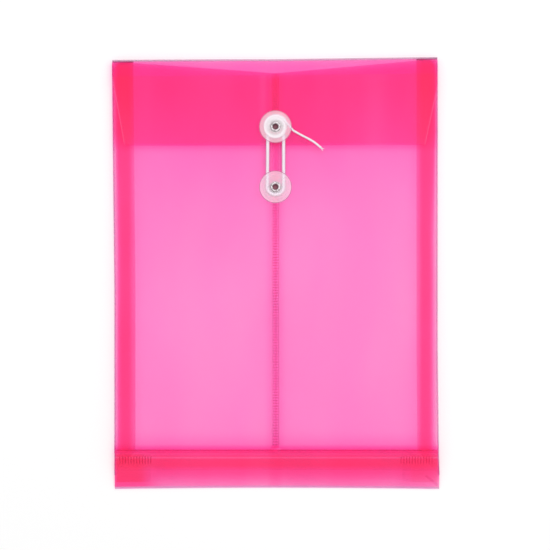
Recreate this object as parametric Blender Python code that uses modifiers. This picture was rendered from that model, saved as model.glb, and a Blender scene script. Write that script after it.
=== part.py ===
# String-tie gusseted envelope in tinted polypropylene sheet, lying on its back.
# +X runs to the right of the front, +Y towards the flap, +Z out of the front.
# The origin is at the middle of the underside. Lengths here are in millimetres.
import math

import bmesh
import bpy
import mathutils
import numpy as np

MM = 0.001

# Sheet and outline
WIDTH = 248.0
LENGTH = 327.0
SHEET = 0.35
GAP = 0.30
STEP = SHEET + GAP
CORNER = 2.5

# Gusset: each side folds in by one panel width
GUSSET = 15.4
GUSSET_LEAN_DEG = 7.5
GUSSET_INSET = 0.3
GUSSET_TOP = 3.4
GUSSET_LOW_OUTER = 10.0
GUSSET_LOW_INNER = 28.0

# Front panel, two halves lapped down the middle
FRONT_UNDER = 6.0
MOUTH_SIDE = 2.6
MOUTH_MID = 11.0
LAP = 6.0
JOGGLE = 1.0
LAP_CLEAR = 4.0

# Bottom: the back turns up over the front and is welded to its hem
TAB_RUN = 29.3
HINGE_INSET = 0.6
HEM_RUN = 26.0
HEM_START = 13.6
BLOCK_WIDTH = 27.0
BLOCK_START = 10.0
BLOCK_END = 24.0

# Flap and the roll that joins it to the back
FLAP_UNDER = 8.8
FLAP_DROP = 66.0
FLAP_STRAIGHT = 14.0
FLAP_TAPER = 8.8
FLAP_CORNER = 4.0
ROLL_ON_FLAP = 8.0

# Buttons, eyelets and string
BUTTON_FROM_EDGE = 14.3
BUTTON_SPACING = 45.8
DISC_R = 12.2
DISC_T = 1.0
RIM_W = 1.1
RIM_H = 0.3
WELL_R = 8.9
DISC_WELL = 0.2
HUB_R = 4.2
HUB_LIP = 0.3
BORE_R = 2.7
CUT_PAST = 5.65
BARREL_R = 2.4
EYELET_HOLE_R = 2.0
FLANGE_R = 4.0
FLANGE_T = 0.55
CURL_R = 3.6
CURL_T = 0.5
WASHER_R = 9.2
WASHER_T = 0.4
STRING_D = 1.7
STRING_LAYER = 2.2
RUN_X = 6.2
WIND_CLEAR = 0.5
BEND_R = 5.4
WIND_TURNS = 1.375
TAIL_END = (35.0, -16.0)

TURNED_STEPS = 40

# Heights that follow from the stack
BACK_MID = SHEET / 2
HINGE_Z = SHEET + GAP + SHEET / 2
FRONT_MID = FRONT_UNDER + SHEET / 2
FRONT_TOP = FRONT_UNDER + SHEET
LAP_TOP = FRONT_TOP + STEP
FLAP_MID = FLAP_UNDER + SHEET / 2
FLAP_TOP = FLAP_UNDER + SHEET
ROLL_R = (FLAP_MID - BACK_MID) / 2
ROLL_Z = BACK_MID + ROLL_R
ROLL_Y = LENGTH / 2 - ROLL_R - SHEET / 2
LOW = -LENGTH / 2
UPPER_Y = LENGTH / 2 - FLAP_DROP + BUTTON_FROM_EDGE
LOWER_Y = UPPER_Y - BUTTON_SPACING
HINGE_Y = LOW + HINGE_INSET
HEM_Y = HINGE_Y + HEM_RUN
TAB_TILT = math.atan2(FRONT_MID + STEP - HINGE_Z, HEM_RUN)
STRING_R = STRING_D / 2
WIND_START_R = HUB_R + WIND_CLEAR + STRING_R
TIE_R = HUB_R + GAP + STRING_R
UPPER_LAYER = FLAP_TOP + GAP + STRING_R
LOWER_LAYER = LAP_TOP + GAP + STRING_R


def clear_scene():
    for obj in list(bpy.data.objects):
        bpy.data.objects.remove(obj, do_unlink=True)


def material(name, colour, rough, metal=0.0):
    mat = bpy.data.materials.new(name)
    mat.use_nodes = True
    shader = mat.node_tree.nodes["Principled BSDF"]
    shader.inputs["Base Color"].default_value = (*colour, 1.0)
    shader.inputs["Roughness"].default_value = rough
    shader.inputs["Metallic"].default_value = metal
    return mat


def finish_object(obj, mat, parent):
    obj.data.materials.append(mat)
    bpy.context.scene.collection.objects.link(obj)
    if parent:
        obj.parent = parent
        obj.matrix_parent_inverse = parent.matrix_world.inverted()
    return obj


def joint_empty(name, place, parent=None):
    empty = bpy.data.objects.new(name, None)
    empty.empty_display_size = 0.01
    empty.location = mathutils.Vector(place) * MM
    bpy.context.scene.collection.objects.link(empty)
    bpy.context.view_layer.update()
    if parent:
        empty.parent = parent
        empty.matrix_parent_inverse = parent.matrix_world.inverted()
        bpy.context.view_layer.update()
    return empty


def rounded(corners, steps=6):
    """Outline points from (x, y, radius) corners, each radius drawn as an arc."""
    points = []
    count = len(corners)
    for i, (x, y, radius) in enumerate(corners):
        here = mathutils.Vector((x, y))
        before = mathutils.Vector(corners[i - 1][:2]) - here
        after = mathutils.Vector(corners[(i + 1) % count][:2]) - here
        if radius <= 0:
            points.append((x, y))
            continue
        half = before.angle(after) / 2
        reach = radius / math.tan(half)
        start = here + before.normalized() * reach
        end = here + after.normalized() * reach
        centre = here + (before.normalized() + after.normalized()).normalized() * radius / math.sin(half)
        a = start - centre
        turn = a.angle_signed(end - centre)
        for k in range(steps + 1):
            spin = mathutils.Matrix.Rotation(-turn * k / steps, 2)
            points.append(tuple(centre + spin @ a))
    return points


def circle(x, y, radius, steps=TURNED_STEPS):
    turn = 2 * math.pi / steps
    return [(x + radius * math.cos(turn * k), y + radius * math.sin(turn * k)) for k in range(steps)]


def sheet_piece(name, outlines, mat, parent, matrix):
    """A flat sheet cut to closed outlines; a second outline inside the first is a hole."""
    curve = bpy.data.curves.new(name, "CURVE")
    curve.dimensions = "2D"
    curve.fill_mode = "BOTH"
    curve.extrude = SHEET / 2 * MM
    for points in outlines:
        spline = curve.splines.new("POLY")
        spline.points.add(len(points) - 1)
        for point, (x, y) in zip(spline.points, points):
            point.co = (x * MM, y * MM, 0.0, 1.0)
        spline.use_cyclic_u = True
    obj = bpy.data.objects.new(name, curve)
    obj.matrix_world = matrix
    return finish_object(obj, mat, parent)


def placed(x, y, z, turn_x=0.0, turn_y=0.0):
    spot = mathutils.Matrix.Translation(mathutils.Vector((x, y, z)) * MM)
    tilt = mathutils.Matrix.Rotation(turn_x, 4, "X") @ mathutils.Matrix.Rotation(turn_y, 4, "Y")
    return spot @ tilt


def bent_sheet(name, columns, mat, parent):
    """A sheet through columns of points, each column running the same way, given its thickness by Solidify."""
    mesh = bpy.data.meshes.new(name)
    shape = bmesh.new()
    rows = [[shape.verts.new(mathutils.Vector(p) * MM) for p in column] for column in columns]
    for left, right in zip(rows, rows[1:]):
        for k in range(len(left) - 1):
            shape.faces.new((left[k], right[k], right[k + 1], left[k + 1]))
    shape.to_mesh(mesh)
    shape.free()
    obj = bpy.data.objects.new(name, mesh)
    thick = obj.modifiers.new("sheet", "SOLIDIFY")
    thick.thickness = SHEET * MM
    thick.offset = 0.0
    return finish_object(obj, mat, parent)


def turned(name, profile, mat, parent, place):
    """A closed profile of (radius, height) turned about its own Z axis."""
    mesh = bpy.data.meshes.new(name)
    count = len(profile)
    points = [(r * MM, 0.0, z * MM) for r, z in profile]
    mesh.from_pydata(points, [(k, (k + 1) % count) for k in range(count)], [])
    obj = bpy.data.objects.new(name, mesh)
    obj.location = mathutils.Vector(place) * MM
    screw = obj.modifiers.new("turn", "SCREW")
    screw.steps = TURNED_STEPS
    screw.render_steps = TURNED_STEPS
    screw.use_merge_vertices = True
    screw.merge_threshold = 0.00001
    screw.use_normal_flip = True
    return finish_object(obj, mat, parent)


def cord(name, points, mat, parent, roundness=2):
    curve = bpy.data.curves.new(name, "CURVE")
    curve.dimensions = "3D"
    curve.bevel_depth = STRING_R * MM
    curve.bevel_resolution = roundness
    curve.use_fill_caps = True
    spline = curve.splines.new("POLY")
    spline.points.add(len(points) - 1)
    for point, place in zip(spline.points, points):
        point.co = (*(np.array(place) * MM), 1.0)
    obj = bpy.data.objects.new(name, curve)
    return finish_object(obj, mat, parent)


def drill(obj, place, radius):
    """A round hole straight down through a panel, cut by a hidden cylinder."""
    bpy.ops.mesh.primitive_cylinder_add(
        vertices=TURNED_STEPS,
        radius=radius * MM,
        depth=(SHEET + CUT_PAST) * MM,
        location=mathutils.Vector(place) * MM,
    )
    tool = bpy.context.object
    tool.name = "cutter_" + obj.name
    tool.hide_render = True
    tool.display_type = "WIRE"
    for home in list(tool.users_collection):
        home.objects.unlink(tool)
    cutters.objects.link(tool)
    cut = obj.modifiers.new("hole", "BOOLEAN")
    cut.operation = "DIFFERENCE"
    cut.solver = "EXACT"
    cut.object = tool


def mouth(x):
    """Height of the front's mouth edge, which dips in a shallow straight V to the middle."""
    share = min(1.0, abs(x) / (WIDTH / 2 - GUSSET))
    return LENGTH / 2 - MOUTH_MID + (MOUTH_MID - MOUTH_SIDE) * share


clear_scene()
cutters = bpy.data.collections.new("cutters")
bpy.context.scene.collection.children.link(cutters)
half = WIDTH / 2

tint_back = material("back_film", (0.95, 0.35, 0.62), 0.35)
tint_front_left = material("front_left_film", (0.96, 0.38, 0.64), 0.35)
tint_front_right = material("front_right_film", (0.96, 0.36, 0.63), 0.35)
tint_gusset = material("gusset_film", (0.93, 0.22, 0.45), 0.35)
tint_gusset_turn = material("gusset_turn_film", (0.94, 0.26, 0.49), 0.35)
tint_flap = material("flap_film", (0.93, 0.22, 0.47), 0.35)
tint_roll = material("roll_film", (0.95, 0.30, 0.56), 0.35)
tint_tab = material("tab_film", (0.92, 0.25, 0.45), 0.35)
tint_hem = material("hem_film", (0.90, 0.20, 0.40), 0.35)
tint_block = material("block_film", (0.88, 0.20, 0.42), 0.35)
frosted = material("frosted_disc", (0.95, 0.86, 0.90), 0.45)
frosted_hub = material("frosted_spacer", (0.90, 0.82, 0.86), 0.45)
frosted_back = material("frosted_washer", (0.93, 0.80, 0.86), 0.45)
nickel = material("nickel", (0.80, 0.79, 0.78), 0.25, 1.0)
white_cord = material("white_cord", (0.93, 0.92, 0.90), 0.85)

# Joint empties, each on its own axis
roll_hinge = joint_empty("flap_hinge", (0.0, ROLL_Y, ROLL_Z))
tab_hinge = joint_empty("bottom_hinge", (0.0, HINGE_Y, HINGE_Z))
hem_hinge = joint_empty("hem_hinge", (0.0, HEM_Y, FRONT_MID), tab_hinge)
upper_pin = joint_empty("upper_disc_axis", (0.0, UPPER_Y, FLAP_TOP), roll_hinge)
lower_pin = joint_empty("lower_disc_axis", (0.0, LOWER_Y, LAP_TOP), hem_hinge)

# Back panel, up to where the sheet starts to roll over
back_outline = rounded([
    (-half, LOW, CORNER),
    (half, LOW, CORNER),
    (half, ROLL_Y, 0.0),
    (-half, ROLL_Y, 0.0),
])
sheet_piece("back_panel", [back_outline], tint_back, None, placed(0, 0, BACK_MID))

# The roll at the top, the living hinge between back and flap
roll = [(ROLL_Y + GAP, BACK_MID)]
for k in range(1, 24):
    a = -math.pi / 2 + math.pi * k / 24
    roll.append((ROLL_Y + ROLL_R * math.cos(a), ROLL_Z + ROLL_R * math.sin(a)))
roll += [(ROLL_Y, FLAP_MID), (ROLL_Y - ROLL_ON_FLAP + GAP, FLAP_MID)]
bent_sheet("top_roll", [[(x, y, z) for y, z in roll] for x in (half, -half)], tint_roll, None)

# Gusset panels. The rear one hinges on the back's side edge, the front one on the fold between them.
fold_gap = STEP / 2
for side, sign in (("left", -1.0), ("right", 1.0)):
    outer_x = sign * (half - GUSSET_INSET)
    lean = math.radians(GUSSET_LEAN_DEG)
    run = mathutils.Vector((-sign * math.cos(lean), math.sin(lean)))
    lift = mathutils.Vector((sign * math.sin(lean), math.cos(lean)))
    fold = mathutils.Vector((outer_x, HINGE_Z)) + run * GUSSET + lift * fold_gap
    rear_hinge = joint_empty(side + "_rear_hinge", (outer_x, 0.0, HINGE_Z))
    fold_hinge = joint_empty(side + "_fold_hinge", (fold.x, 0.0, fold.y), rear_hinge)
    top = LENGTH / 2 - GUSSET_TOP
    rear = [
        (0.0, LOW + GUSSET_LOW_OUTER),
        (-sign * GUSSET, LOW + GUSSET_LOW_INNER),
        (-sign * GUSSET, top),
        (0.0, top),
    ]
    sheet_piece(side + "_gusset_rear", [rear], tint_gusset, rear_hinge,
                placed(outer_x, 0, HINGE_Z, 0.0, sign * lean))
    back_lift = mathutils.Vector((-sign * math.sin(lean), math.cos(lean)))
    start = fold + back_lift * fold_gap
    front = [
        (0.0, LOW + GUSSET_LOW_INNER),
        (sign * GUSSET, LOW + GUSSET_LOW_INNER),
        (sign * GUSSET, top),
        (0.0, top),
    ]
    sheet_piece(side + "_gusset_front", [front], tint_gusset_turn, fold_hinge,
                placed(start.x, 0, start.y, 0.0, -sign * lean))

# Front panel halves. The right one steps up and laps over the left one down the middle.
side_x = half - GUSSET_INSET
fold_y = HEM_Y + GAP
lap_y = HEM_Y + LAP_CLEAR
left_edges = [-side_x, -(half - GUSSET), -LAP, 0.0, LAP / 2 - GAP]
left_columns = [[(x, fold_y, FRONT_MID), (x, mouth(x), FRONT_MID)] for x in left_edges]
front_left = bent_sheet("front_left_panel", left_columns, tint_front_left, hem_hinge)
drill(front_left, (0, LOWER_Y, FRONT_MID), BORE_R)

foot = LAP / 2 + GAP + JOGGLE
right_columns = [
    [(-LAP / 2, lap_y, FRONT_MID + STEP), (-LAP / 2, mouth(LAP / 2), FRONT_MID + STEP)],
    [(0.0, lap_y, FRONT_MID + STEP), (0.0, mouth(0.0), FRONT_MID + STEP)],
    [(foot - JOGGLE, lap_y, FRONT_MID + STEP), (foot - JOGGLE, mouth(foot), FRONT_MID + STEP)],
    [(foot, fold_y, FRONT_MID), (foot, mouth(foot), FRONT_MID)],
    [(half - GUSSET, fold_y, FRONT_MID), (half - GUSSET, mouth(half), FRONT_MID)],
    [(side_x, fold_y, FRONT_MID), (side_x, mouth(half), FRONT_MID)],
]
front_right = bent_sheet("front_right_panel", right_columns, tint_front_right, hem_hinge)
drill(front_right, (0, LOWER_Y, FRONT_MID + STEP), BORE_R)

# Bottom: the turned-up tab, the front's hem welded under it, and the gusset ends folded in
tab_half = half - 1.0
tab_run = [
    (-tab_half, 0.0, 0.0),
    (tab_half, 0.0, 0.0),
    (tab_half, TAB_RUN, 1.5),
    (-tab_half, TAB_RUN, 1.5),
]
sheet_piece("bottom_tab", [rounded(tab_run)], tint_tab, tab_hinge,
            placed(0, HINGE_Y, HINGE_Z, TAB_TILT))


def under_tab(run, depth):
    """A place on the tab's slope, a given run from its fold and a given depth below it."""
    y = HINGE_Y + run * math.cos(TAB_TILT) + depth * math.sin(TAB_TILT)
    z = HINGE_Z + run * math.sin(TAB_TILT) - depth * math.cos(TAB_TILT)
    return y, z


hem_end = HEM_RUN / math.cos(TAB_TILT) - GAP
hem_y, hem_z = under_tab(HEM_START, STEP)
hem_long = hem_end - HEM_START
hem_outline = [(-tab_half, 0.0), (tab_half, 0.0), (tab_half, hem_long), (-tab_half, hem_long)]
sheet_piece("front_hem", [hem_outline], tint_hem, tab_hinge, placed(0, hem_y, hem_z, TAB_TILT))
block_y, block_z = under_tab(BLOCK_START, 2 * STEP)
block_long = BLOCK_END - BLOCK_START
for side, sign in (("left", -1.0), ("right", 1.0)):
    inner = sign * (tab_half - BLOCK_WIDTH)
    outer = sign * (tab_half - 0.5)
    block = [(outer, 0.0), (inner, 0.0), (inner, block_long), (outer, block_long)]
    sheet_piece(side + "_end_block", [block], tint_block, tab_hinge,
                placed(0, block_y, block_z, TAB_TILT))

# Flap: parallel at first, then its sides taper to rounded corners
flap_top = ROLL_Y - ROLL_ON_FLAP
flap_taper = LENGTH / 2 - FLAP_STRAIGHT
flap_low = LENGTH / 2 - FLAP_DROP
flap_half = half - FLAP_TAPER
flap_outline = rounded([
    (-half, flap_top, 0.0),
    (-half, flap_taper, 0.0),
    (-flap_half, flap_low, FLAP_CORNER),
    (flap_half, flap_low, FLAP_CORNER),
    (half, flap_taper, 0.0),
    (half, flap_top, 0.0),
])
sheet_piece("flap_panel", [flap_outline, circle(0.0, UPPER_Y, BORE_R)], tint_flap, roll_hinge,
            placed(0, 0, FLAP_MID))


def button(which, y, base, hub_height, under, hub_parent, disc_parent):
    """A frosted disc over a spacer ring, held by a hollow eyelet that is rolled over a washer behind the sheet."""
    low = base + GAP
    seat = low + hub_height
    top = seat + DISC_T
    well = top - DISC_WELL
    spacer = [
        (BORE_R, low),
        (HUB_R + HUB_LIP, low),
        (HUB_R, low + HUB_LIP),
        (HUB_R, seat - GAP - HUB_LIP),
        (HUB_R + HUB_LIP, seat - GAP),
        (BORE_R, seat - GAP),
    ]
    turned(which + "_spacer", spacer, frosted_hub, hub_parent, (0.0, y, 0.0))
    disc = [
        (BORE_R, seat),
        (DISC_R - RIM_H, seat),
        (DISC_R, seat + RIM_H),
        (DISC_R, top),
        (DISC_R - RIM_H, top + RIM_H),
        (DISC_R - RIM_W, top + RIM_H),
        (DISC_R - RIM_W - RIM_H, top),
        (WELL_R + DISC_WELL, top),
        (WELL_R, well),
        (BORE_R, well),
    ]
    turned(which + "_disc", disc, frosted, disc_parent, (0.0, y, 0.0))
    washer_top = under - GAP
    washer_low = washer_top - WASHER_T
    washer = [(BORE_R, washer_low), (WASHER_R, washer_low), (WASHER_R, washer_top), (BORE_R, washer_top)]
    turned(which + "_washer", washer, frosted_back, hub_parent, (0.0, y, 0.0))
    rim = well + GAP
    curl = washer_low - GAP
    eyelet = [
        (EYELET_HOLE_R, curl - 0.7 * CURL_T),
        (BARREL_R, curl - CURL_T),
        (CURL_R - 0.6 * CURL_T, curl - CURL_T),
        (CURL_R, curl - 0.5 * CURL_T),
        (CURL_R - 0.4 * CURL_T, curl),
        (BARREL_R, curl),
        (BARREL_R, rim),
        (FLANGE_R - 0.3 * FLANGE_T, rim),
        (FLANGE_R, rim + 0.3 * FLANGE_T),
        (FLANGE_R - 0.8 * FLANGE_T, rim + 0.85 * FLANGE_T),
        (FLANGE_R - 1.9 * FLANGE_T, rim + FLANGE_T),
        (BARREL_R, rim + 0.65 * FLANGE_T),
        (EYELET_HOLE_R, rim),
    ]
    turned(which + "_eyelet", eyelet, nickel, hub_parent, (0.0, y, 0.0))


button("upper", UPPER_Y, FLAP_TOP, STRING_D + STRING_LAYER + GAP, FLAP_UNDER, roll_hinge, upper_pin)
button("lower", LOWER_Y, LAP_TOP, STRING_D + GAP, FRONT_UNDER, hem_hinge, lower_pin)


def around(y, radius, angle, z):
    return (radius * math.cos(angle), y + radius * math.sin(angle), z)


def run_height(y):
    """The string lies level on the flap, then eases down to the lower button."""
    share = min(1.0, max(0.0, (y - LOWER_Y - 11.0) / 19.0))
    ease = share * share * (3 - 2 * share)
    return LOWER_LAYER + (UPPER_LAYER - LOWER_LAYER) * ease


# String loop: from the upper hub down the right, round the lower hub and up the left
loop = []
for k in range(9):
    share = k / 8
    angle = math.radians(80 * (1 - share))
    loop.append(around(UPPER_Y, TIE_R + (RUN_X - TIE_R) * share, angle, UPPER_LAYER))
fall = np.linspace(UPPER_Y, LOWER_Y, 15)
loop += [(RUN_X, y, run_height(y)) for y in fall[1:-1]]
for k in range(17):
    angle = -math.pi * k / 16
    loop.append(around(LOWER_Y, BEND_R + (RUN_X - BEND_R) * math.cos(angle) ** 2, angle, LOWER_LAYER))
for k in range(1, 15):
    y = LOWER_Y + (UPPER_Y - GAP - LOWER_Y) * k / 14
    loop.append((-RUN_X + (RUN_X - WIND_START_R) * k / 14, y, run_height(y)))
cord("string_loop", loop, white_cord, roll_hinge)

# Winding: climbs a layer in its first quarter turn, then spirals out under the upper disc
winding = []
wind_steps = int(24 * WIND_TURNS)
for k in range(wind_steps + 1):
    turns = WIND_TURNS * k / wind_steps
    climb = min(1.0, turns / 0.25)
    rise = climb * climb * (3 - 2 * climb) * STRING_LAYER
    angle = math.pi - 2 * math.pi * turns
    winding.append(around(UPPER_Y, WIND_START_R + STRING_LAYER * turns, angle, UPPER_LAYER + rise))
cord("string_winding", winding, white_cord, roll_hinge, 1)

# Tail: leaves the winding along its tangent and drops to the flap
exit_angle = math.pi - 2 * math.pi * WIND_TURNS
exit_r = WIND_START_R + STRING_LAYER * WIND_TURNS
leave = np.array([math.sin(exit_angle), -math.cos(exit_angle)])
start = np.array([exit_r * math.cos(exit_angle), exit_r * math.sin(exit_angle)]) + leave * GAP
bend = start + leave * 13.0
end = np.array(TAIL_END)
tail = []
for k in range(15):
    t = k / 14
    flat = (1 - t) ** 2 * start + 2 * t * (1 - t) * bend + t * t * end
    fall_share = min(1.0, max(0.0, (t - 0.22) / 0.4))
    drop = fall_share * fall_share * (3 - 2 * fall_share) * STRING_LAYER
    tail.append((flat[0], UPPER_Y + flat[1], UPPER_LAYER + STRING_LAYER - drop))
cord("string_tail", tail, white_cord, roll_hinge)


def least_gap(points, apart):
    """Least free space between stretches of one tube that lie at least a given length apart along it."""
    fine = []
    for a, b in zip(points, points[1:]):
        fine += [np.array(a) + (np.array(b) - np.array(a)) * t for t in (0.0, 0.25, 0.5, 0.75)]
    fine = np.array(fine)
    along = np.concatenate([[0.0], np.cumsum(np.linalg.norm(np.diff(fine, axis=0), axis=1))])
    far = np.linalg.norm(fine[:, None] - fine[None], axis=2)
    far[np.abs(along[:, None] - along[None]) < apart] = 1e9
    return far.min() - STRING_D


def length_of(points):
    return float(np.linalg.norm(np.diff(np.array(points), axis=0), axis=1).sum())


print("winding: least gap to itself %.2f mm" % least_gap(winding, 5 * STRING_D))
print("winding to loop: least gap %.2f mm" % (
    np.linalg.norm(np.array(winding[2:])[:, None] - np.array(loop[:-2])[None], axis=2).min() - STRING_D))
print("string lengths: loop %.1f, winding %.1f, tail %.1f mm" % (
    length_of(loop), length_of(winding), length_of(tail)))
print("joint axes: flap %.3f %.3f, bottom %.3f %.3f, hem %.3f %.3f" % (
    ROLL_Y, ROLL_Z, HINGE_Y, HINGE_Z, HEM_Y, FRONT_MID))
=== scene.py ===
import math

import bmesh
import bpy
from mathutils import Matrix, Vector, kdtree


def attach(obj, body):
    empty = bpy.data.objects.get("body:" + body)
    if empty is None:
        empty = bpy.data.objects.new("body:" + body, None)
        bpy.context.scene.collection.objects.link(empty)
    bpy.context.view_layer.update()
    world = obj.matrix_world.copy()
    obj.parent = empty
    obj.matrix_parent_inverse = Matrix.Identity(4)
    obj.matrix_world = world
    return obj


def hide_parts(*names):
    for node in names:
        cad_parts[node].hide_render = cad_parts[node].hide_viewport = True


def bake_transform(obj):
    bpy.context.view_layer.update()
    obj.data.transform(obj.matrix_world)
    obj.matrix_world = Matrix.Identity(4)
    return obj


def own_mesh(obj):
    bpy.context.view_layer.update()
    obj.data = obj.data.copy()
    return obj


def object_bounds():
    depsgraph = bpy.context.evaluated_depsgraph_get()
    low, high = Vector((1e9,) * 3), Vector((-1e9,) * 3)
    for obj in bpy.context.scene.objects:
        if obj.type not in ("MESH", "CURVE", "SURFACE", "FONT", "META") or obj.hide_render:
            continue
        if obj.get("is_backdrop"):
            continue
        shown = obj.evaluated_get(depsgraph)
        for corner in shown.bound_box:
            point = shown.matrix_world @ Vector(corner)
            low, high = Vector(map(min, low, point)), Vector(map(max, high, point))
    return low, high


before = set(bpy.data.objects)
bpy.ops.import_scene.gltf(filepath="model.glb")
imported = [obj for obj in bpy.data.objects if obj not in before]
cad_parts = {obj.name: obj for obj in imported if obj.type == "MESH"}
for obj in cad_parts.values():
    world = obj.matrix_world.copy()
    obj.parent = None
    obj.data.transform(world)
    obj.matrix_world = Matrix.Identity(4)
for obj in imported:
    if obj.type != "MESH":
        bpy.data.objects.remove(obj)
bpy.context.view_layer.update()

# String-tie envelope in tinted see-through film, lying on its back. Lengths are in millimetres here
# and become metres where a piece is made.
scene = bpy.context.scene
scene.view_settings.view_transform = "Standard"
scene.cycles.transparent_max_bounces = 64

MM = 0.001
ACROSS, ALONG = (1, 0, 0), (0, 1, 0)

# Main places and sizes
HALF = 124.0
SIDE = 123.7
LOW = -163.5
SHEET = 0.35
STEP = 0.65
BACK_Z = 0.175
HINGE_Y, HINGE_Z = -162.9, 0.825
HEM_Y = -136.9
FRONT_Z = 6.175
FLAP_Z = 8.975
FLAP_LOW = 97.5
ROLL_Y, ROLL_Z, ROLL_R = 158.925, 4.575, 4.4
ROLL_END = 150.925
TAB_RUN = 29.3
TAB_TILT = math.radians(12.9946)
GUSSET = 15.4
LEAN = math.radians(7.5)
UPPER_Y, LOWER_Y = 111.8, 66.0
UPPER_SEAT, LOWER_SEAT = 13.65, 9.3
HOLE_R = 2.7

# String sizes
STRING_D = 2.2
UPPER_LAYER, LOWER_LAYER = 10.3, 8.15
LAYER = 2.2

# Modelling limits
NEAR = 0.01
TURN_STEPS = 6
HOLE_STEPS = 48
PUNCH_LONG = 4
FILM_SMOOTH, CORD_SMOOTH, WELD_SMOOTH = 30, 60, 40


def at(x, y, z):
    return Vector((x, y, z)) * MM


def ease(share):
    share = min(1.0, max(0.0, share))
    return share * share * (3 - 2 * share)


# Camera

SENSOR = 36.0
LENS_HEIGHT = 4.0
FIELD, FIELD_HEIGHT = 0.41965, 0.004
CAMERA_X, CAMERA_Y = -0.00036, -0.00114
camera = bpy.data.cameras.new("camera")
camera.sensor_width = SENSOR
camera.lens = SENSOR * (LENS_HEIGHT - FIELD_HEIGHT) / FIELD
camera_object = bpy.data.objects.new("camera", camera)
camera_object.location = (CAMERA_X, CAMERA_Y, LENS_HEIGHT)
scene.collection.objects.link(camera_object)
scene.camera = camera_object


# Modelling tools

def clear_choice():
    if bpy.context.mode != "OBJECT":
        bpy.ops.object.mode_set(mode="OBJECT")
    bpy.ops.object.select_all(action="DESELECT")


def work_on(piece):
    clear_choice()
    piece.select_set(True)
    bpy.context.view_layer.objects.active = piece
    bpy.ops.object.mode_set(mode="EDIT")


def pick_all():
    bpy.ops.mesh.select_all(action="SELECT")


def pick(test, kind="VERT"):
    """Selects only the points, or the faces by their middle, that pass the test.
    Places are in millimetres."""
    bpy.ops.mesh.select_mode(type=kind)
    bpy.ops.mesh.select_all(action="DESELECT")
    data = bpy.context.edit_object.data
    shape = bmesh.from_edit_mesh(data)
    if kind == "VERT":
        for point in shape.verts:
            point.select_set(test(point.co / MM))
    else:
        for face in shape.faces:
            face.select_set(test(face.calc_center_median() / MM))
    shape.select_flush_mode()
    bmesh.update_edit_mesh(data)


def lay_in_place(name):
    """Names the shape that was just added, applies its place and size and opens it for edit mode."""
    piece = bpy.context.object
    piece.name = piece.data.name = name
    bpy.ops.object.transform_apply(location=True, rotation=True, scale=True)
    bpy.ops.object.mode_set(mode="EDIT")
    return piece


def film_blank(name, x0, x1, y0, y1, z, across, along):
    """A flat sheet of film, cut to size and laid in place, left open for edit mode."""
    clear_choice()
    bpy.ops.mesh.primitive_grid_add(x_subdivisions=across, y_subdivisions=along, size=1.0)
    bpy.context.object.scale = ((x1 - x0) * MM, (y1 - y0) * MM, 1.0)
    bpy.context.object.location = at((x0 + x1) / 2, (y0 + y1) / 2, z)
    return lay_in_place(name)


def fold_over(test, centre, axis, angle, steps=TURN_STEPS):
    """Turns the picked edge round a centre, which makes the round of a fold."""
    pick(test)
    bpy.ops.mesh.spin(steps=steps, angle=angle, center=at(*centre), axis=axis, use_auto_merge=False)


def run_on(x, y, z):
    """Draws the edge that is still selected further out as flat sheet."""
    bpy.ops.mesh.extrude_edges_move(TRANSFORM_OT_translate={"value": at(x, y, z)})


def tilt(angle, axis, centre):
    """Turns the whole sheet by a right-handed angle.
    Without a window the operator turns the other way."""
    pick_all()
    bpy.ops.transform.rotate(value=-angle, orient_axis=axis, center_override=at(*centre))


def lay_on_tab():
    """Tilts what is drawn flat up to the slope of the bottom tab."""
    tilt(TAB_TILT, "X", (0, HINGE_Y, HINGE_Z))


def trim(place, outward, keep_line=False):
    """Cuts the selected sheet along a line and drops what lies outwards of it."""
    bpy.ops.mesh.bisect(plane_co=at(*place), plane_no=outward, clear_outer=not keep_line, threshold=1e-7)


def round_corner(test, radius):
    pick(test)
    bpy.ops.mesh.bevel(offset=radius * MM, segments=6, affect="VERTICES", clamp_overlap=False)


def apply_all(piece):
    for change in list(piece.modifiers):
        bpy.ops.object.modifier_apply(modifier=change.name)


# How the film has settled: slopes of the top edge, then how far the sides and the foot stray
LEAN_RIGHT, LEAN_LEFT, LEAN_LEFT_X = 0.0137, 0.0065, -38.0
LEAN_LOW, LEAN_REACH = 60.0, 100.0
LEFT_IN, LEFT_OUT, LEFT_LOW, LEFT_REACH = -1.3, 1.9, -12.0, 172.0
LEFT_FOOT, LEFT_FOOT_TOP = 0.15, -120.0
RIGHT_IN, RIGHT_OUT, RIGHT_TOP, RIGHT_REACH = -0.45, 0.6, -50.0, 70.0
RIGHT_FOOT, FOOT_TOP = 1.0, -130.0
CORNER_REACH, FOOT_REACH = 25.0, 30.0
FOOT_DROP, FOOT_BOW, FOOT_BOW_X = 0.25, 0.85, 115.0


def lean(x):
    """How far the top edge rises to the right and drops to the left."""
    return LEAN_RIGHT * max(x, 0.0) + LEAN_LEFT * min(x - LEAN_LEFT_X, 0.0)


def settled(x, y):
    """Nothing lies quite square: the top leans to the left, the left side widens upwards,
    the right side widens downwards and the foot bows out at its corners."""
    if x < 0:
        upwards = min(1.0, max(0.0, (y - LEFT_LOW) / LEFT_REACH))
        flare = LEFT_IN + LEFT_OUT * upwards + LEFT_FOOT * ease((LEFT_FOOT_TOP - y) / CORNER_REACH)
    else:
        downwards = ease((RIGHT_TOP - y) / RIGHT_REACH)
        flare = RIGHT_IN + RIGHT_OUT * downwards + RIGHT_FOOT * ease((FOOT_TOP - y) / CORNER_REACH)
    bow = FOOT_DROP + FOOT_BOW * (x / FOOT_BOW_X) ** 2
    rise = lean(x) * ease((y - LEAN_LOW) / LEAN_REACH) - bow * ease((FOOT_TOP - y) / FOOT_REACH)
    return x * (1 + flare / HALF), y + rise


def settle(piece):
    for point in piece.data.vertices:
        x, y = settled(point.co.x / MM, point.co.y / MM)
        point.co.x, point.co.y = x * MM, y * MM


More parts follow.
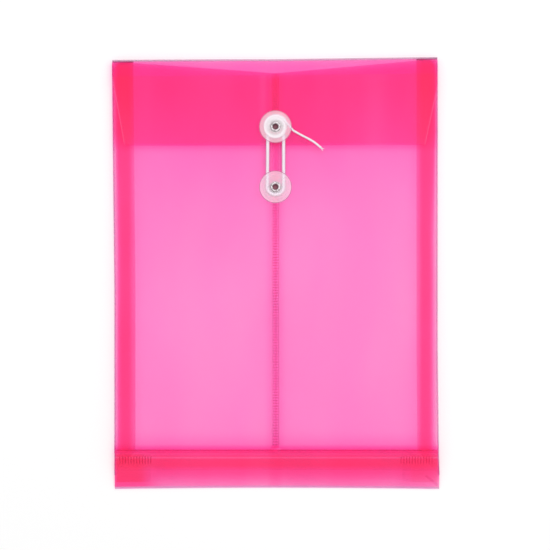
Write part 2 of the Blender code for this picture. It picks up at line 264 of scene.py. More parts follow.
def close_up(piece, angle):
    """Merges doubles, turns the faces outwards and shades the piece smooth up to an angle."""
    work_on(piece)
    pick_all()
    bpy.ops.mesh.remove_doubles(threshold=2e-6)
    bpy.ops.mesh.normals_make_consistent(inside=False)
    bpy.ops.object.mode_set(mode="OBJECT")
    bpy.ops.object.shade_smooth_by_angle(angle=math.radians(angle))


def finish_film(piece, holes=()):
    """Gives a film its thickness, punches its holes and smooths its folds."""
    bpy.ops.object.mode_set(mode="OBJECT")
    settle(piece)
    thick = piece.modifiers.new("sheet", "SOLIDIFY")
    thick.thickness = SHEET * MM
    thick.offset = 0.0
    apply_all(piece)
    for place in holes:
        clear_choice()
        bpy.ops.mesh.primitive_cylinder_add(
            vertices=HOLE_STEPS, radius=HOLE_R * MM, depth=PUNCH_LONG * MM, location=at(*place))
        punch = bpy.context.object
        work_on(piece)
        bpy.ops.object.mode_set(mode="OBJECT")
        cut = piece.modifiers.new("punch", "BOOLEAN")
        cut.operation = "DIFFERENCE"
        cut.solver = "EXACT"
        cut.object = punch
        apply_all(piece)
        bpy.data.objects.remove(punch, do_unlink=True)
    close_up(piece, FILM_SMOOTH)


def soften(piece, width):
    """Rounds the sharp edges of a piece."""
    bpy.ops.object.mode_set(mode="OBJECT")
    edge = piece.modifiers.new("soft edge", "BEVEL")
    edge.width = width * MM
    edge.segments = 2
    edge.limit_method = "ANGLE"
    edge.angle_limit = math.radians(25)
    apply_all(piece)


def turned(name, y, rings, edge, smooth, steps=96):
    """A ring-shaped piece drawn up on a circle: each ring is an extrusion that is scaled to its radius.
    Its sharp edges are rounded by edge."""
    clear_choice()
    radius, z = rings[0]
    bpy.ops.mesh.primitive_circle_add(vertices=steps, radius=radius * MM, location=at(0, y, z))
    piece = lay_in_place(name)
    pick_all()
    for next_radius, next_z in rings[1:]:
        bpy.ops.mesh.extrude_edges_move(TRANSFORM_OT_translate={"value": at(0, 0, next_z - z)})
        grow = next_radius / radius
        bpy.ops.transform.resize(value=(grow, grow, 1.0), center_override=at(0, y, next_z))
        radius, z = next_radius, next_z
    bpy.ops.mesh.select_mode(type="EDGE")
    bpy.ops.mesh.select_all(action="DESELECT")
    bpy.ops.mesh.select_non_manifold()
    bpy.ops.mesh.bridge_edge_loops()
    soften(piece, edge)
    close_up(piece, smooth)
    return piece


def raised(rings, z):
    """The rings of a profile, moved up to their height."""
    return [(radius, z + height) for radius, height in rings]


# Shared effects

def new_group(name, inputs, outputs):
    group = bpy.data.node_groups.new(name, "ShaderNodeTree")
    for label, kind, value in inputs:
        socket = group.interface.new_socket(label, in_out="INPUT", socket_type=kind)
        if value is not None:
            socket.default_value = value
    for label, kind in outputs:
        group.interface.new_socket(label, in_out="OUTPUT", socket_type=kind)
    return group, group.nodes.new("NodeGroupInput"), group.nodes.new("NodeGroupOutput")


def put(tree, kind, **values):
    """Adds a node. A value named in_NAME sets an input, and any other a setting of the node."""
    node = tree.nodes.new("ShaderNode" + kind)
    for key, value in values.items():
        if key.startswith("in_"):
            node.inputs[key[3:].replace("_", " ")].default_value = value
        else:
            setattr(node, key, value)
    return node


def calc(tree, operation, a, b=None, c=None, clamp=False):
    node = put(tree, "Math", operation=operation, use_clamp=clamp)
    for socket, value in zip(node.inputs, (a, b, c)):
        if value is None:
            continue
        if isinstance(value, (int, float)):
            socket.default_value = value
        else:
            tree.links.new(value, socket)
    return node.outputs[0]


def ramp(tree, value, low, high, to_low=0.0, to_high=1.0):
    node = put(tree, "MapRange", interpolation_type="SMOOTHSTEP")
    tree.links.new(value, node.inputs["Value"])
    node.inputs["From Min"].default_value = low
    node.inputs["From Max"].default_value = high
    node.inputs["To Min"].default_value = to_low
    node.inputs["To Max"].default_value = to_high
    return node.outputs[0]


def blend_colour(tree, share, a, b):
    node = put(tree, "Mix", data_type="RGBA")
    for socket, value in ((node.inputs[0], share), (node.inputs[6], a), (node.inputs[7], b)):
        if isinstance(value, (int, float)):
            socket.default_value = value
        elif isinstance(value, tuple):
            socket.default_value = (*value, 1.0)
        else:
            tree.links.new(value, socket)
    return node.outputs[2]


def mixed(tree, share, first, second):
    """The first shader where the share is 0, and the second where it is 1."""
    mix = put(tree, "MixShader")
    for socket, value in zip(mix.inputs, (share, first.outputs[0], second.outputs[0])):
        tree.links.new(value, socket)
    return mix


FLOAT, VECTOR = "NodeSocketFloat", "NodeSocketVector"


def make_film_skin():
    """The skin of drawn film: slow waves, faint drawing streaks and a fine matt grain."""
    group, given, out = new_group(
        "film_skin",
        [("Place", VECTOR, None), ("Wave Size", FLOAT, 14.0), ("Grain Size", FLOAT, 2600.0)],
        [("Cloud", FLOAT), ("Rough", FLOAT), ("Height", FLOAT)])
    wave = put(group, "TexNoise", in_Detail=3.0, in_Roughness=0.55)
    grain = put(group, "TexNoise", in_Detail=2.0)
    streak_place = put(group, "Mapping")
    streak_place.inputs["Scale"].default_value = (1.0, 0.06, 1.0)
    streak = put(group, "TexNoise", in_Scale=420.0, in_Detail=4.0)
    for node in (wave, grain):
        group.links.new(given.outputs["Place"], node.inputs["Vector"])
    group.links.new(given.outputs["Place"], streak_place.inputs["Vector"])
    group.links.new(streak_place.outputs[0], streak.inputs["Vector"])
    group.links.new(given.outputs["Wave Size"], wave.inputs["Scale"])
    group.links.new(given.outputs["Grain Size"], grain.inputs["Scale"])
    cloud = ramp(group, wave.outputs[0], 0.28, 0.72)
    group.links.new(cloud, out.inputs["Cloud"])
    rough = calc(group, "MULTIPLY_ADD", grain.outputs[0], 0.16, 0.24)
    group.links.new(calc(group, "MULTIPLY_ADD", streak.outputs[0], 0.12, rough), out.inputs["Rough"])
    height = calc(group, "MULTIPLY_ADD", grain.outputs[0], 0.012, wave.outputs[0])
    group.links.new(calc(group, "MULTIPLY_ADD", streak.outputs[0], 0.01, height), out.inputs["Height"])
    return group


def make_moulded_frost():
    """Moulded frosted plastic: spark-eroded grain with faint flow marks and scuffs."""
    group, given, out = new_group(
        "moulded_frost",
        [("Place", VECTOR, None), ("Grain Size", FLOAT, 5200.0)],
        [("Tone", FLOAT), ("Rough", FLOAT), ("Height", FLOAT)])
    grain = put(group, "TexNoise", in_Detail=3.0)
    flow = put(group, "TexNoise", in_Scale=160.0, in_Detail=3.0)
    scuff = put(group, "TexVoronoi", feature="DISTANCE_TO_EDGE", in_Scale=900.0)
    for node in (grain, flow, scuff):
        group.links.new(given.outputs["Place"], node.inputs["Vector"])
    group.links.new(given.outputs["Grain Size"], grain.inputs["Scale"])
    group.links.new(ramp(group, flow.outputs[0], 0.3, 0.7), out.inputs["Tone"])
    worn = ramp(group, scuff.outputs["Distance"], 0.0, 0.08, 0.1, 0.0)
    base = calc(group, "ADD", worn, 0.32)
    group.links.new(calc(group, "MULTIPLY_ADD", grain.outputs[0], 0.22, base), out.inputs["Rough"])
    group.links.new(grain.outputs[0], out.inputs["Height"])
    return group


def make_plated_wear():
    """Bright plating: polishing lines, small pits and a dulled, darker film where fingers don't reach."""
    group, given, out = new_group(
        "plated_wear",
        [("Place", VECTOR, None), ("Line Size", FLOAT, 2400.0)],
        [("Dull", FLOAT), ("Rough", FLOAT), ("Height", FLOAT)])
    lines = put(group, "TexNoise", in_Detail=4.0, in_Roughness=0.7)
    patch = put(group, "TexNoise", in_Scale=700.0, in_Detail=2.0)
    for node in (lines, patch):
        group.links.new(given.outputs["Place"], node.inputs["Vector"])
    group.links.new(given.outputs["Line Size"], lines.inputs["Scale"])
    dull = ramp(group, patch.outputs[0], 0.42, 0.68)
    group.links.new(dull, out.inputs["Dull"])
    polished = calc(group, "MULTIPLY_ADD", lines.outputs[0], 0.1, 0.36)
    group.links.new(calc(group, "MULTIPLY_ADD", dull, 0.16, polished), out.inputs["Rough"])
    group.links.new(lines.outputs[0], out.inputs["Height"])
    return group


def make_spun_fibre():
    """Spun cotton: fine fibres along the strand, soft slubs and a little grey handling dirt."""
    group, given, out = new_group(
        "spun_fibre",
        [("Place", VECTOR, None), ("Fibre Size", FLOAT, 4200.0)],
        [("Shade", FLOAT), ("Rough", FLOAT), ("Height", FLOAT)])
    fibre = put(group, "TexNoise", in_Detail=5.0, in_Roughness=0.65)
    slub = put(group, "TexNoise", in_Scale=520.0, in_Detail=2.0)
    for node in (fibre, slub):
        group.links.new(given.outputs["Place"], node.inputs["Vector"])
    group.links.new(given.outputs["Fibre Size"], fibre.inputs["Scale"])
    slubs = calc(group, "MULTIPLY", slub.outputs[0], 0.5)
    shade = calc(group, "MULTIPLY_ADD", fibre.outputs[0], 0.6, slubs)
    group.links.new(ramp(group, shade, 0.35, 0.75), out.inputs["Shade"])
    group.links.new(calc(group, "MULTIPLY_ADD", slub.outputs[0], 0.2, 0.72), out.inputs["Rough"])
    height = calc(group, "MULTIPLY_ADD", slub.outputs[0], 0.8, fibre.outputs[0])
    group.links.new(height, out.inputs["Height"])
    return group


film_skin = make_film_skin()
moulded_frost = make_moulded_frost()
plated_wear = make_plated_wear()
spun_fibre = make_spun_fibre()


# Finishes

def new_finish(name, group):
    """A material with its shared effect on Object coordinates."""
    finish = bpy.data.materials.new(name)
    finish.use_nodes = True
    tree = finish.node_tree
    tree.nodes.clear()
    out = put(tree, "OutputMaterial")
    effect = put(tree, "Group", node_tree=group)
    tree.links.new(put(tree, "TexCoord").outputs["Object"], effect.inputs["Place"])
    return finish, tree, out, effect


def surface(tree, effect, colour, relief, distance):
    shader = put(tree, "BsdfPrincipled")
    tree.links.new(colour, shader.inputs["Base Color"])
    tree.links.new(effect.outputs["Rough"], shader.inputs["Roughness"])
    bump = put(tree, "Bump", in_Strength=relief, in_Distance=distance)
    tree.links.new(effect.outputs["Height"], bump.inputs["Height"])
    tree.links.new(bump.outputs[0], shader.inputs["Normal"])
    return shader


def shaded(colour, share):
    return tuple(channel * share for channel in colour)


def lit_through(tree, out, seen, cast):
    """Joins what is seen of a piece with the clear shader that lamp light passes through."""
    lamp_ray = put(tree, "LightPath").outputs["Is Shadow Ray"]
    tree.links.new(mixed(tree, lamp_ray, seen, cast).outputs[0], out.inputs[0])


FACE_SHARE = 0.25
MOUTH_SLOPE = 0.0773
BAND_SCALE = (24.0, 8.0, 24.0)
THINNEST = 0.02
CLOUD_SHADE, DIM_SHADE = 0.9, 0.2
SLANT_MILK = 0.4


def film(name, whole, body, haze=0.03, fields=(), drift=0.07, by=None, thin=None, dim=None):
    """Tinted film. whole is what white paper under one sheet of it turns to, body the film's own milky
    colour and haze the share of it on each face. Light tints at both faces of a sheet on its way down and
    again on its way back, so each face takes a quarter. A field (way, start, end, amount) makes the tint
    deeper or thinner at start, fading out to end, and may be held inside a second way, start and end.
    Way x is across, X across from the middle, Y along, V along from the slanted mouth. thin takes the haze
    away and dim darkens the body in the same manner, as painted shade. by names an attribute that holds the
    places."""
    finish, tree, out, effect = new_finish(name, film_skin)
    if by:
        where = put(tree, "Attribute", attribute_name=by).outputs["Vector"]
    else:
        where = put(tree, "TexCoord").outputs["Object"]
    bands_place = put(tree, "Mapping")
    bands_place.inputs["Scale"].default_value = BAND_SCALE
    bands = put(tree, "TexNoise", in_Scale=1.0, in_Detail=2.0, in_Roughness=0.45)
    tree.links.new(where, bands_place.inputs["Vector"])
    tree.links.new(bands_place.outputs[0], bands.inputs["Vector"])
    split = put(tree, "SeparateXYZ")
    tree.links.new(where, split.inputs[0])
    across = calc(tree, "ABSOLUTE", split.outputs["X"])
    ways = {"x": split.outputs["X"], "X": across, "Y": split.outputs["Y"]}

    def share_of(way, start, end):
        if way == "V" and way not in ways:
            ways["V"] = calc(tree, "MULTIPLY_ADD", across, -MOUTH_SLOPE, split.outputs["Y"])
        limits = (start, end, 1.0, 0.0) if start < end else (end, start, 0.0, 1.0)
        return ramp(tree, ways[way], limits[0] * MM, limits[1] * MM, *limits[2:])

    depth = ramp(tree, bands.outputs[0], 0.3, 0.7, 1.0 - drift, 1.0 + drift)
    for way, start, end, amount, *window in fields:
        share = share_of(way, start, end)
        if window:
            share = calc(tree, "MULTIPLY", share, share_of(*window))
        depth = calc(tree, "MULTIPLY_ADD", share, amount, depth)
    depth = calc(tree, "MAXIMUM", depth, THINNEST)

    tint = put(tree, "CombineColor", in_Red=whole[0] ** FACE_SHARE)
    for channel, value in (("Green", whole[1]), ("Blue", whole[2])):
        tree.links.new(calc(tree, "POWER", value ** FACE_SHARE, depth), tint.inputs[channel])
    clear = put(tree, "BsdfTransparent")
    tree.links.new(tint.outputs[0], clear.inputs["Color"])
    colour = blend_colour(tree, effect.outputs["Cloud"], body, shaded(body, CLOUD_SHADE))
    # dim paints shade: a darker body
    if dim:
        dimmed = calc(tree, "MULTIPLY", share_of(*dim[:3]), dim[3])
        colour = blend_colour(tree, dimmed, colour, (body[0], *shaded(body[1:], DIM_SHADE)))
    shader = surface(tree, effect, colour, relief=0.35, distance=0.0012)
    shader.inputs["Specular IOR Level"].default_value = 0.5
    edge = put(tree, "LayerWeight", in_Blend=0.5)
    slant = calc(tree, "POWER", edge.outputs["Facing"], 2.0)
    milk = haze
    if thin:
        milk = calc(tree, "MULTIPLY_ADD", share_of(*thin[:3]), -thin[3] * haze, haze)
    milk = calc(tree, "MULTIPLY_ADD", slant, SLANT_MILK, milk)
    lit_through(tree, out, mixed(tree, milk, clear, shader), clear)
    return finish


def frosted(name, body, solid, see, cast):
    """Frosted disc plastic: white haze over a clear body."""
    finish, tree, out, effect = new_finish(name, moulded_frost)
    colour = blend_colour(tree, effect.outputs["Tone"], body, shaded(body, 0.95))
    shader = surface(tree, effect, colour, relief=0.25, distance=0.0001)
    clear = put(tree, "BsdfTransparent", in_Color=(*see, 1.0))
    lamp = put(tree, "BsdfTransparent", in_Color=(*cast, 1.0))
    edge = put(tree, "LayerWeight", in_Blend=0.5)
    haze = calc(tree, "MULTIPLY_ADD", edge.outputs["Facing"], 0.5, solid, clamp=True)
    lit_through(tree, out, mixed(tree, haze, clear, shader), lamp)
    return finish


def plated(name, bright, dull):
    finish, tree, out, effect = new_finish(name, plated_wear)
    colour = blend_colour(tree, effect.outputs["Dull"], bright, dull)
    shader = surface(tree, effect, colour, relief=0.2, distance=0.00005)
    shader.inputs["Metallic"].default_value = 1.0
    tree.links.new(shader.outputs[0], out.inputs[0])
    return finish


def spun(name, light, dark, side):
    """Spun string, with painted shade and pink light from the film along its sides.
    The attribute side_on is 1 there and 0 at its top and foot."""
    finish, tree, out, effect = new_finish(name, spun_fibre)
    colour = blend_colour(tree, effect.outputs["Shade"], dark, light)
    # Painted shade and pink film light along the string's sides
    side_on = put(tree, "Attribute", attribute_name="side_on").outputs["Fac"]
    colour = blend_colour(tree, calc(tree, "POWER", side_on, 2.2), colour, side)
    shader = surface(tree, effect, colour, relief=0.35, distance=0.0002)
    shader.inputs["Sheen Weight"].default_value = 0.4
    shader.inputs["Sheen Roughness"].default_value = 0.5
    tree.links.new(shader.outputs[0], out.inputs[0])
    return finish


def matt(name, light, dark):
    finish, tree, out, effect = new_finish(name, moulded_frost)
    colour = blend_colour(tree, effect.outputs["Tone"], light, dark)
    shader = surface(tree, effect, colour, relief=0.3, distance=0.0001)
    tree.links.new(shader.outputs[0], out.inputs[0])
    return finish


PINK = (0.98, 0.12, 0.40)
MILK_PINK = (0.98, 0.12, 0.37)
DARK_PINK = (0.62, 0.10, 0.26)
FRONT_TINT, FRONT_MILK = (0.99, 0.545, 0.805), (0.99, 0.13, 0.48)
GREY_PINK = (0.62, 0.40, 0.53)
FLAP_EDGE = ("Y", FLAP_LOW - 2.0, FLAP_LOW + 3.0)
HEM_LINE = ("Y", -140.6, -141.6, -0.5, "Y", -140.2, -139.2)
# Painted light and shade in the front's tint: lighter towards the outer folds for light coming in from the
# sides, and painted shadow just below the flap's edge, above the tab's lip and beside the gussets' inner
# folds
front_fields = [
    ("X", 124.2, 119.5, -0.9), ("V", 152.8, 148.0, -0.9), ("Y", 98.0, 45.0, 0.31),
    ("Y", 110.0, -30.0, 0.46), ("Y", 98.0, 92.5, 0.77), ("Y", -134.5, -129.5, 2.6),
    ("Y", -134.0, -118.0, 0.77), ("Y", -135.2, -134.4, -2.9), ("Y", -134.0, -50.0, 0.15),
    ("X", 2.5, 9.0, 0.49), ("X", 107.5, 98.0, 0.2)]
# The back is lighter towards its outer folds: painted light coming in from the sides
back_film = film("back_film", (0.99, 0.62, 0.93), PINK, haze=0.03, fields=[("X", 124.2, 118.5, -0.45)])
front_left_film = film(
    "front_left_film", FRONT_TINT, FRONT_MILK, haze=0.13,
    fields=front_fields + [("x", 2.7, -1.0, -1.8), ("x", -122.8, -121.0, -0.35)])
front_right_film = film(
    "front_right_film", FRONT_TINT, FRONT_MILK, haze=0.13,
    fields=front_fields + [("x", -3.0, 1.0, -1.8), ("x", 122.8, 121.6, -0.3)])
roll_film = film(
    "roll_film", (0.975, 0.275, 0.71), (0.95, 0.07, 0.25), haze=0.13, fields=[("V", 151.5, 154.0, 0.4)])
# The flap's tint and haze fade out at its free edge, painting the soft edge of its shadow, and dim darkens
# its body towards the roll as painted shade
flap_film = film(
    "flap_film", (0.99, 0.145, 0.55), MILK_PINK, haze=0.16, drift=0.1,
    fields=[(*FLAP_EDGE, -0.9), ("x", -9.0, -14.0, -0.34, "x", -9.5, -5.5),
            ("x", 76.0, 62.0, -0.24, "x", 78.0, 94.0)],
    thin=(*FLAP_EDGE, 0.9), dim=("Y", 150.0, 100.0, 0.6))
# Painted highlight: a lighter strip along the flap's cut sides where the edge catches light
cut_edge_highlight_film = film("cut_edge_highlight_film", (0.985, 0.22, 0.58), (0.99, 0.26, 0.55), haze=0.17)
# The gussets are lighter towards their outer folds: painted light coming in from the sides
gusset_film = film(
    "gusset_film", (0.99, 0.34, 0.56), PINK, haze=0.04, by="rest_place",
    fields=[("x", -122.8, -119.4, -0.85), ("x", 123.2, 120.5, -1.0),
            ("X", 122.6, 115.8, -0.95, "Y", 10.0, 120.0), ("x", 124.0, 118.0, -0.35),
            ("X", 108.0, 113.0, -0.7), ("Y", -148.0, -136.0, -0.9), ("Y", 110.0, 94.0, 0.41),
            ("x", -100.0, -99.0, 0.12, "Y", 110.0, 94.0), ("x", -100.0, -99.0, 0.17, "Y", -60.0, 0.0),
            ("x", 100.0, 99.0, -0.11, "Y", -60.0, 0.0)])
rim_film = film("rim_film", (0.82, 0.72, 0.86), (0.74, 0.48, 0.64), haze=0.18)
gusset_rim_film = film(
    "gusset_rim_film", (0.40, 0.25, 0.34), (0.36, 0.10, 0.20), haze=0.25, by="rest_place")
tab_film = film(
    "tab_film", (0.99, 0.078, 0.315), (0.99, 0.115, 0.39), haze=0.16,
    fields=[("Y", -163.4, -148.0, -0.70), HEM_LINE, ("x", -104.0, -85.0, 0.56, "Y", -161.0, -147.0),
            ("X", 2.0, 7.0, 0.1)])
hem_film = film(
    "hem_film", (0.99, 0.51, 0.45), MILK_PINK, haze=0.03,
    fields=[("Y", -149.8, -145.5, -0.95), ("Y", -138.2, -140.0, -0.85), HEM_LINE])
end_film = film(
    "end_film", (0.99, 0.50, 0.45), MILK_PINK, haze=0.03,
    fields=[("x", 20.0, 0.0, -0.75), ("X", 95.8, 106.0, -0.9)])
seam_film = film(
    "seam_film", (0.93, 0.87, 0.92), DARK_PINK, haze=0.03, fields=[("x", -1.0, -0.2, -0.6)])
ridge_film = film(
    "ridge_film", (0.89, 0.68, 0.82), DARK_PINK, haze=0.05,
    fields=[("x", 0.2, 1.4, 0.8, "Y", -5.0, -70.0)])
bar_film = film("bar_film", (0.74, 0.18, 0.34), (0.74, 0.09, 0.24), haze=0.09)
faint_bar_film = film("faint_bar_film", (0.79, 0.29, 0.47), (0.86, 0.14, 0.31), haze=0.07)
fold_film = film("fold_film", (0.96, 0.68, 0.86), (0.80, 0.20, 0.42), haze=0.03)
# Partly painted shadow: the dark tint of the tab's lip
lip_and_shadow_film = film("lip_and_shadow_film", (0.86, 0.36, 0.60), (0.80, 0.10, 0.30), haze=0.08)
crease_film = film("crease_film", (0.72, 0.95, 0.91), GREY_PINK, haze=0.14)
foot_film = film("foot_film", (0.78, 0.51, 0.68), GREY_PINK, haze=0.14)

FROST_CLEAR, FROST_CAST = (0.995, 0.985, 0.99), (0.95, 0.93, 0.94)
frosted_white = frosted("frosted_white", (0.985, 0.955, 1.0), 0.27, FROST_CLEAR, FROST_CAST)
# The upper disc's ring has a pinker body than the lower disc: painted pink light from the deep pink flap
# beneath
frosted_ring = frosted("frosted_ring", (0.99, 0.84, 0.98), 0.20, (0.995, 0.98, 0.99), FROST_CAST)
frosted_well = frosted("frosted_well", (0.985, 0.975, 0.98), 0.40, FROST_CLEAR, FROST_CAST)
# Painted shade: a dark outline on the discs' outer walls
frosted_shaded_edge = frosted("frosted_shaded_edge", (0.66, 0.40, 0.54), 0.30, (0.92, 0.80, 0.88), (0.88, 0.82, 0.86))
frosted_hub = frosted("frosted_hub", (0.97, 0.94, 0.95), 0.6, (0.99, 0.97, 0.98), (0.94, 0.91, 0.93))
nickel = plated("nickel", (0.58, 0.53, 0.55), (0.40, 0.35, 0.37))
# The string's faint pink cast is painted light from the film; its side colour is painted shade with pink
# film light
white_string = spun("white_string", (1.0, 0.94, 1.0), (0.98, 0.87, 0.96), (0.50, 0.17, 0.34))
# Painted shade: the dark inside of the eyelets' bores
bore_shade = matt("bore_shade", (0.26, 0.05, 0.09), (0.18, 0.03, 0.06))


def dress(piece, finish, slot, body, *nodes):
    """Gives a piece its finish and says which solids it stands for."""
    piece.data.materials.clear()
    piece.data.materials.append(finish)
    if body:
        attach(piece, body)
    if nodes:
        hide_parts(*nodes)


def keep_places(piece):
    """Holds each point's place at rest, for a finish on a sheet that bends."""
    places = piece.data.attributes.new("rest_place", "FLOAT_VECTOR", "POINT")
    for point, held in zip(piece.data.vertices, places.data):
        held.vector = point.co


# String

RUN_X, TIE_R, BEND_R, WIND_R, TURNS = 6.2, 5.6, 5.65, 5.75, 1.41
TIE_TURN, TIE_STEPS = 80, 8
RISE_START, RISE_RUN = 11.0, 19.0
RUN_STEPS, BEND_STEPS, WIND_STEPS = 14, 16, 33
LOOP_SHORT = 0.3
CLIMB_TURN = 0.25
TAIL_LEAVE, TAIL_BEND = 2.6, (0.5, 0.3)
TAIL_DROP_START, TAIL_DROP_RUN = 0.22, 0.4
FINE_STEPS, ROUTE_STEP = 8, 0.42
SECTION_POINTS = 21
PLY_VALLEY, PLY_SWELL, PLY_ROUND, PLY_PITCH = 0.80, 0.22, 0.7, 5.2
LOOP_PRESS, TAIL_PRESS = 1.25, 0.84
HAIRS, HAIR_R, HAIR_STEPS, HAIR_TURN = 15, 0.14, 5, 2.399
HAIR_SPREAD, HAIR_ROOT, HAIR_OPEN, HAIR_LIFT = 0.75, 0.45, 1.7, 0.5
HAIR_LONG, HAIR_UNEVEN, HAIR_WAVE, HAIR_SINK = 2.0, 0.7, 1.7, 0.5


def around(y, radius, angle, z):
    return Vector((radius * math.cos(angle), y + radius * math.sin(angle), z))


def run_height(y):
    return LOWER_LAYER + (UPPER_LAYER - LOWER_LAYER) * ease((y - LOWER_Y - RISE_START) / RISE_RUN)


loop_route = []
for k in range(TIE_STEPS + 1):
    share = k / TIE_STEPS
    angle = math.radians(TIE_TURN * (1 - share))
    loop_route.append(around(UPPER_Y, TIE_R + (RUN_X - TIE_R) * share, angle, UPPER_LAYER))
for k in range(1, RUN_STEPS):
    y = UPPER_Y + (LOWER_Y - UPPER_Y) * k / RUN_STEPS
    loop_route.append(Vector((RUN_X, y, run_height(y))))
for k in range(BEND_STEPS + 1):
    angle = -math.pi * k / BEND_STEPS
    loop_route.append(around(LOWER_Y, BEND_R + (RUN_X - BEND_R) * math.cos(angle) ** 2, angle, LOWER_LAYER))
for k in range(1, RUN_STEPS + 1):
    y = LOWER_Y + (UPPER_Y - LOOP_SHORT - LOWER_Y) * k / RUN_STEPS
    loop_route.append(Vector((-RUN_X + (RUN_X - WIND_R) * k / RUN_STEPS, y, run_height(y))))

winding_route = [loop_route[-1].copy()]
for k in range(WIND_STEPS + 1):
    turns = TURNS * k / WIND_STEPS
    winding_route.append(around(UPPER_Y, WIND_R + LAYER * turns, math.pi - 2 * math.pi * turns,
                                UPPER_LAYER + LAYER * ease(turns / CLIMB_TURN)))

exit_angle = math.pi - 2 * math.pi * TURNS
exit_r = WIND_R + LAYER * TURNS
leave = Vector((math.sin(exit_angle), -math.cos(exit_angle)))
tail_start = Vector((exit_r * math.cos(exit_angle), exit_r * math.sin(exit_angle)))
tail_line = [tail_start, tail_start + leave * TAIL_LEAVE,
             tail_start + leave * 2 * TAIL_LEAVE + Vector(TAIL_BEND)]
for spot in ((13.0, -2.4), (16.0, -4.3), (19.2, -6.1), (22.6, -7.8), (25.8, -9.5), (28.8, -11.3),
             (31.8, -13.5), (35.0, -16.3)):
    tail_line.append(Vector(spot))
tail_route = []
for k, flat in enumerate(tail_line):
    t = k / (len(tail_line) - 1)
    fall = ease((t - TAIL_DROP_START) / TAIL_DROP_RUN)
    tail_route.append(Vector((flat.x, UPPER_Y + flat.y, UPPER_LAYER + LAYER * (1 - fall))))


def even_route(points, apart):
    """The same route as a smooth line of evenly spaced points."""
    fine = []
    for i in range(len(points) - 1):
        a, b = points[max(0, i - 1)], points[i]
        c, d = points[i + 1], points[min(len(points) - 1, i + 2)]
        for k in range(FINE_STEPS):
            t = k / FINE_STEPS
            fine.append(0.5 * ((2 * b) + (c - a) * t + (2 * a - 5 * b + 4 * c - d) * t ** 2
                               + (3 * b - a - 3 * c + d) * t ** 3))
    fine.append(points[-1])
    along = [0.0]
    for p, q in zip(fine, fine[1:]):
        along.append(along[-1] + (q - p).length)
    count = max(2, round(along[-1] / apart))
    even, at_step = [], 0
    for k in range(count + 1):
        want = along[-1] * k / count
        while at_step < len(fine) - 2 and along[at_step + 1] < want:
            at_step += 1
        gap = along[at_step + 1] - along[at_step]
        even.append(fine[at_step].lerp(fine[at_step + 1], (want - along[at_step]) / max(gap, 1e-9)))
    return even, along[-1]


def strand_section():
    """Section of a three-ply cord, with a valley between each two plies."""
    line = bpy.data.curves.new("strand_section", "CURVE")
    line.dimensions = "2D"
    spline = line.splines.new("POLY")
    spline.points.add(SECTION_POINTS - 1)
    spline.use_cyclic_u = True
    for k, point in enumerate(spline.points):
        angle = 2 * math.pi * k / SECTION_POINTS
        radius = STRING_D / 2 * (PLY_VALLEY + PLY_SWELL * abs(math.cos(1.5 * angle)) ** PLY_ROUND)
        point.co = (radius * math.cos(angle) * MM, radius * math.sin(angle) * MM, 0.0, 1.0)
    piece = bpy.data.objects.new("strand_section", line)
    scene.collection.objects.link(piece)
    return piece


section = strand_section()


def made_mesh(name, line):
    """Makes a mesh piece of a line that has a thickness."""
    piece = bpy.data.objects.new(name, line)
    scene.collection.objects.link(piece)
    clear_choice()
    piece.select_set(True)
    bpy.context.view_layer.objects.active = piece
    bpy.ops.object.convert(target="MESH")
    return bpy.context.object


def press_flat(piece, points, wide):
    """Soft string lies a little wider than it is high.
    side_on keeps how far each point is from its top and foot."""
    near = kdtree.KDTree(len(points))
    for k, place in enumerate(points):
        near.insert(place * MM, k)
    near.balance()
    sides = piece.data.attributes.new("side_on", "FLOAT", "POINT")
    for point, side in zip(piece.data.vertices, sides.data):
        middle = near.find(point.co)[0]
        off = point.co - middle
        side.value = max(0.0, 1.0 - abs(off.z) / (0.5 * STRING_D * MM))
        point.co = middle + Vector((off.x * wide, off.y * wide, off.z))


def lay_string(name, route, wide):
    """A three-ply cord twisted along a route."""
    points, length = even_route(route, ROUTE_STEP)
    line = bpy.data.curves.new(name, "CURVE")
    line.dimensions = "3D"
    line.twist_mode = "MINIMUM"
    line.bevel_mode = "OBJECT"
    line.bevel_object = section
    line.use_fill_caps = True
    spline = line.splines.new("POLY")
    spline.points.add(len(points) - 1)
    for k, (point, place) in enumerate(zip(spline.points, points)):
        point.co = (*(place * MM), 1.0)
        point.tilt = 2 * math.pi * (length * k / (len(points) - 1)) / PLY_PITCH
    piece = made_mesh(name, line)
    press_flat(piece, points, wide)
    close_up(piece, CORD_SMOOTH)
    return piece, [p * MM for p in points], length * MM


loop_string, loop_path, loop_length = lay_string("loop_string", loop_route, LOOP_PRESS)
winding_string, winding_path, winding_length = lay_string("winding_string", winding_route, LOOP_PRESS)
tail_string, tail_path, tail_length = lay_string("tail_string", tail_route, TAIL_PRESS)


